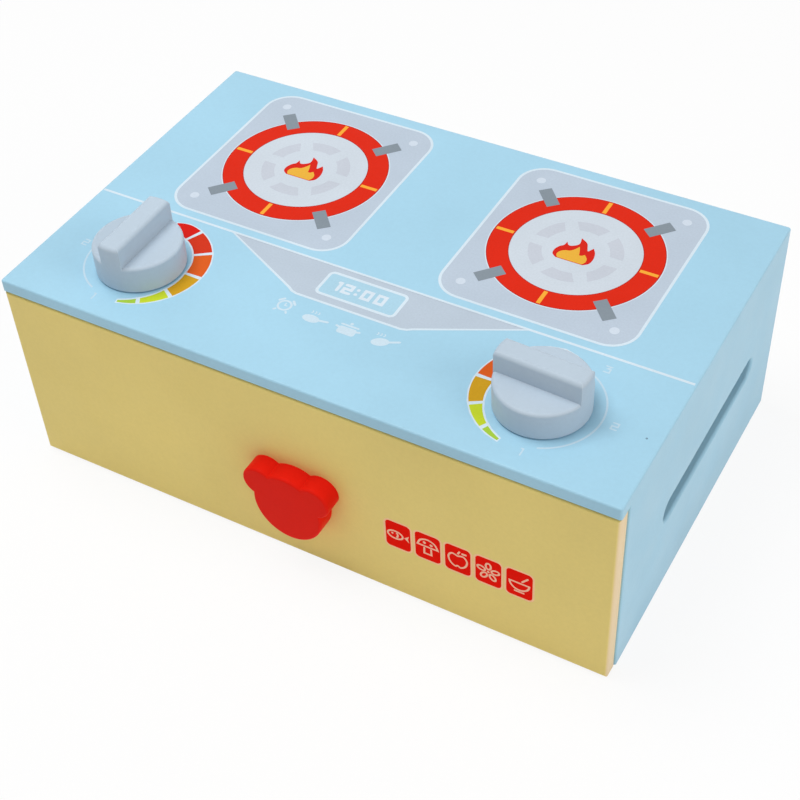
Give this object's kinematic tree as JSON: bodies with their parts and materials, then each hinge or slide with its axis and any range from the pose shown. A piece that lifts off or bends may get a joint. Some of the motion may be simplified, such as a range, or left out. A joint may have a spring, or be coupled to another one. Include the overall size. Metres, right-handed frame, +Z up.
{
  "type": "toy oven",
  "caption": "Small wooden table-top toy cooker: flat box with a printed hob, turning knobs on spindles, round-ended grip slots in its sides and a full-width drawer with a bear-head pull.",
  "frame": {"origin": "on the surface the case stands on, in the middle of the case's width and depth", "axes": "+X to the right along the long front, +Y from the drawer front to the back panel, +Z up"},
  "size_m": [0.3, 0.1995, 0.1319],
  "materials": {
    "blue_paint": "satin paint on board",
    "yellow_paint": "satin paint on board",
    "red_paint": "gloss paint on solid wood",
    "grey_paint": "satin paint on solid wood",
    "plywood": "bare sanded plywood",
    "pine": "bare sanded pine",
    "beech": "bare turned beech dowel",
    "zinc": "zinc-plated",
    "pin_steel": "plain drawn wire"
  },
  "bodies": {
    "case": {"top_board": "blue_paint", "left_side_panel": "blue_paint", "right_side_panel": "blue_paint", "back_panel": "blue_paint", "base_panel": "plywood", "cross_rail": "pine", "left_guide_rail": "pine", "right_guide_rail": "pine", "top_board_pins": "pin_steel", "back_panel_pins": "pin_steel", "base_panel_pins": "pin_steel", "cross_rail_pins": "pin_steel", "guide_rail_pins": "pin_steel"},
    "drawer": {"drawer_front": "yellow_paint", "drawer_left_side": "pine", "drawer_right_side": "pine", "drawer_back": "pine", "drawer_bottom": "plywood", "drawer_dowels": "beech", "drawer_back_pins": "pin_steel", "drawer_bottom_pins": "pin_steel", "bear_pull": "red_paint", "pull_washers": "zinc", "pull_screws": "zinc"},
    "left_knob": {"left_knob": "grey_paint", "left_knob_spindle": "beech", "left_knob_washer": "zinc", "left_knob_screw": "zinc"},
    "right_knob": {"right_knob": "grey_paint", "right_knob_spindle": "beech", "right_knob_washer": "zinc", "right_knob_screw": "zinc"}
  },
  "joints": [
    {"name": "drawer_slide", "type": "slide", "parent": "case", "child": "drawer", "axis": [0, -1, 0], "range_m": [0, 0.106]},
    {"name": "left_knob_turn", "type": "hinge", "parent": "case", "child": "left_knob", "pos_m": [-0.099, -0.0575, 0.1084], "axis": [0, 0, 1], "continuous": true},
    {"name": "right_knob_turn", "type": "hinge", "parent": "case", "child": "right_knob", "pos_m": [0.099, -0.0575, 0.1084], "axis": [0, 0, 1], "continuous": true}
  ]
}
